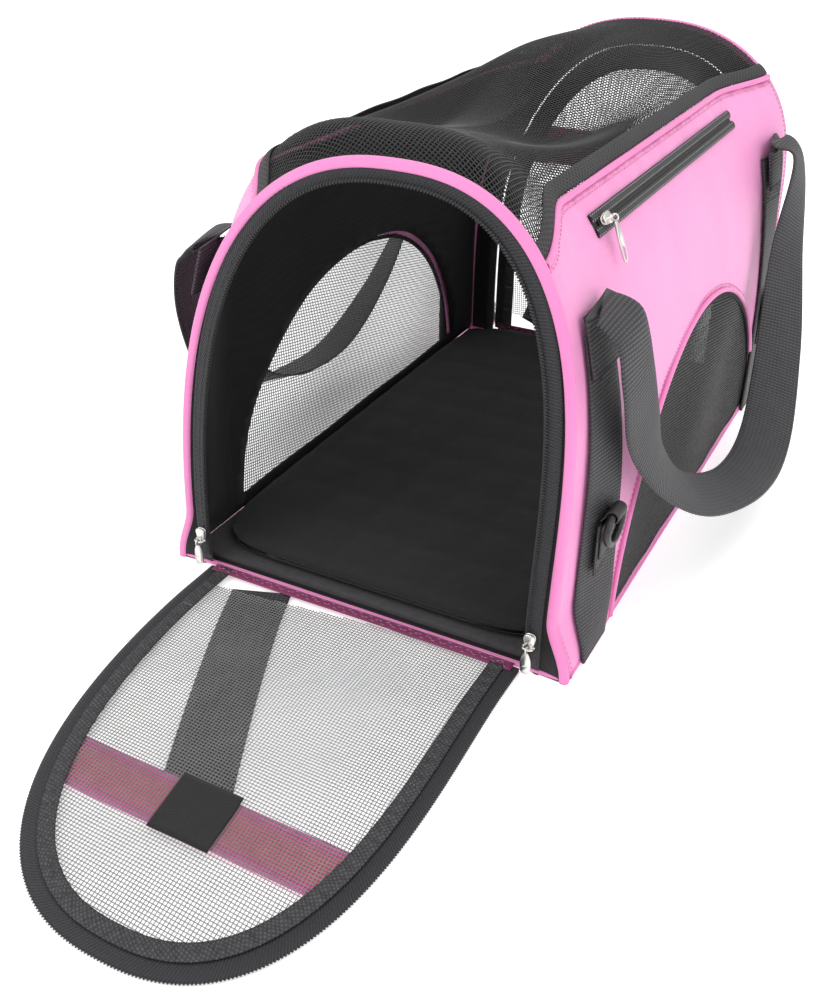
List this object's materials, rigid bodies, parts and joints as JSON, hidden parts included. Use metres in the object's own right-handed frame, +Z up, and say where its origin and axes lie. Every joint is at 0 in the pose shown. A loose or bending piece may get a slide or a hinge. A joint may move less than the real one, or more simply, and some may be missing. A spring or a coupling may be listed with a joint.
{
  "type": "soft-sided pet carrier bag",
  "caption": "Soft-sided pet carrier with zipped mesh end doors, mesh top and side windows, a zipped side pocket and webbing handles; the front door lies open.",
  "frame": {"origin": "middle of the base, on the surface that the bag stands on", "axes": "+Z up, +Y from the front door to the rear door, +X towards the side with the pocket"},
  "size_m": [0.3846, 0.7466, 0.3],
  "materials": {
    "pink_nylon": "woven nylon with a soft sheen",
    "pink_piping": "bias-covered piping",
    "pink_band": "open-weave ribbon, brighter at its edges",
    "black_lining": "coated nylon lining",
    "black_mesh": "open polyester mesh",
    "mesh_hem": "doubled mesh with a diamond pattern",
    "mesh_binding": "gathered mesh binding",
    "zip_tape": "ribbed tape",
    "zip_coil": "nylon coil",
    "zip_metal": "bright nickel, lightly worn",
    "webbing": "ribbed polypropylene webbing",
    "ring_tab": "folded tab",
    "black_ring": "black satin coat",
    "spring_steel": "drawn wire",
    "hook_patch": "hook-and-loop",
    "fleece": "short pile",
    "foam": "closed-cell sheet",
    "board": "fabric-covered board"
  },
  "bodies": {
    "bag": {"bottom_panel": "pink_nylon", "floor_lining": "black_lining", "base_board": "board", "base_pad": "fleece", "side_panel_right": "pink_nylon", "side_panel_left": "pink_nylon", "side_foams": "foam", "side_linings": "black_lining", "side_window_right": "black_mesh", "side_window_left": "black_mesh", "window_pipings": "pink_piping", "top_mesh": "black_mesh", "top_hems": "mesh_hem", "top_pipings": "pink_piping", "front_hoop_piping": "pink_piping", "rear_hoop_piping": "pink_piping", "hoop_wires": "spring_steel", "front_border": "zip_tape", "rear_border": "zip_tape", "front_zip_chain": "zip_coil", "rear_zip_chain": "zip_coil", "pocket_tape": "zip_tape", "pocket_chain": "zip_coil", "pocket_pouch": "black_lining", "straps_right": "webbing", "straps_left": "webbing", "ring_tabs": "ring_tab"},
    "front_door": {"front_door_mesh": "black_mesh", "front_door_tape": "zip_tape", "front_door_chain": "zip_coil", "front_door_binding": "mesh_binding", "front_door_band": "pink_band", "front_door_patch": "hook_patch", "front_door_strap": "webbing"},
    "rear_door": {"rear_door_mesh": "black_mesh", "rear_door_tape": "zip_tape", "rear_door_chain": "zip_coil", "rear_door_binding": "mesh_binding", "rear_door_band": "pink_band", "rear_door_patch": "hook_patch", "rear_door_strap": "webbing"},
    "handle_right": {"handle_right": "webbing"},
    "handle_left": {"handle_left": "webbing"},
    "d_ring_front": {"d_ring_front": "black_ring"},
    "d_ring_rear": {"d_ring_rear": "black_ring"},
    "front_slider_right": {"front_slider_right": "zip_metal"},
    "front_slider_left": {"front_slider_left": "zip_metal"},
    "front_pull_right": {"front_pull_right": "zip_metal"},
    "front_pull_left": {"front_pull_left": "zip_metal"},
    "rear_slider": {"rear_slider": "zip_metal"},
    "rear_pull": {"rear_pull": "zip_metal"},
    "pocket_slider": {"pocket_slider": "zip_metal"},
    "pocket_pull": {"pocket_pull": "zip_metal"}
  },
  "joints": [
    {"name": "front_door_hinge", "type": "hinge", "parent": "bag", "child": "front_door", "pos_m": [0, -0.23, 0.003], "axis": [-1, 0, 0], "range_deg": [0, 90]},
    {"name": "rear_door_hinge", "type": "hinge", "parent": "bag", "child": "rear_door", "pos_m": [0, 0.23, 0.003], "axis": [-1, 0, 0], "range_deg": [0, 90]},
    {"name": "handle_right_swing", "type": "hinge", "parent": "bag", "child": "handle_right", "pos_m": [0.12864, 0, 0.218], "axis": [0, -1, 0], "range_deg": [0, 165]},
    {"name": "handle_left_swing", "type": "hinge", "parent": "bag", "child": "handle_left", "pos_m": [-0.12864, 0, 0.218], "axis": [0, 1, 0], "range_deg": [0, 165]},
    {"name": "d_ring_front_swing", "type": "hinge", "parent": "bag", "child": "d_ring_front", "pos_m": [0.1501, -0.192, 0.101], "axis": [0, -1, 0], "range_deg": [0, 100]},
    {"name": "d_ring_rear_swing", "type": "hinge", "parent": "bag", "child": "d_ring_rear", "pos_m": [0.1501, 0.19, 0.101], "axis": [0, -1, 0], "range_deg": [0, 100]},
    {"name": "front_slider_right_slide", "type": "slide", "parent": "bag", "child": "front_slider_right", "axis": [0, 0, 1], "range_m": [0, 0.08]},
    {"name": "front_pull_right_flip", "type": "hinge", "parent": "front_slider_right", "child": "front_pull_right", "pos_m": [0.1195, -0.2386, 0.0226], "axis": [-1, 0, 0], "range_deg": [0, 160]},
    {"name": "front_slider_left_slide", "type": "slide", "parent": "bag", "child": "front_slider_left", "axis": [0, 0, 1], "range_m": [0, 0.08]},
    {"name": "front_pull_left_flip", "type": "hinge", "parent": "front_slider_left", "child": "front_pull_left", "pos_m": [-0.1195, -0.2386, 0.0226], "axis": [-1, 0, 0], "range_deg": [0, 160]},
    {"name": "rear_slider_slide", "type": "slide", "parent": "bag", "child": "rear_slider", "axis": [0, 0, 1], "range_m": [0, 0.08]},
    {"name": "rear_pull_flip", "type": "hinge", "parent": "rear_slider", "child": "rear_pull", "pos_m": [-0.1195, 0.2386, 0.0226], "axis": [1, 0, 0], "range_deg": [0, 160]},
    {"name": "pocket_slider_slide", "type": "slide", "parent": "bag", "child": "pocket_slider", "axis": [0, 1, 0], "range_m": [0, 0.266]},
    {"name": "pocket_pull_flip", "type": "hinge", "parent": "pocket_slider", "child": "pocket_pull", "pos_m": [0.11437, -0.1365, 0.25069], "axis": [0, -1, 0], "range_deg": [0, 150]}
  ]
}
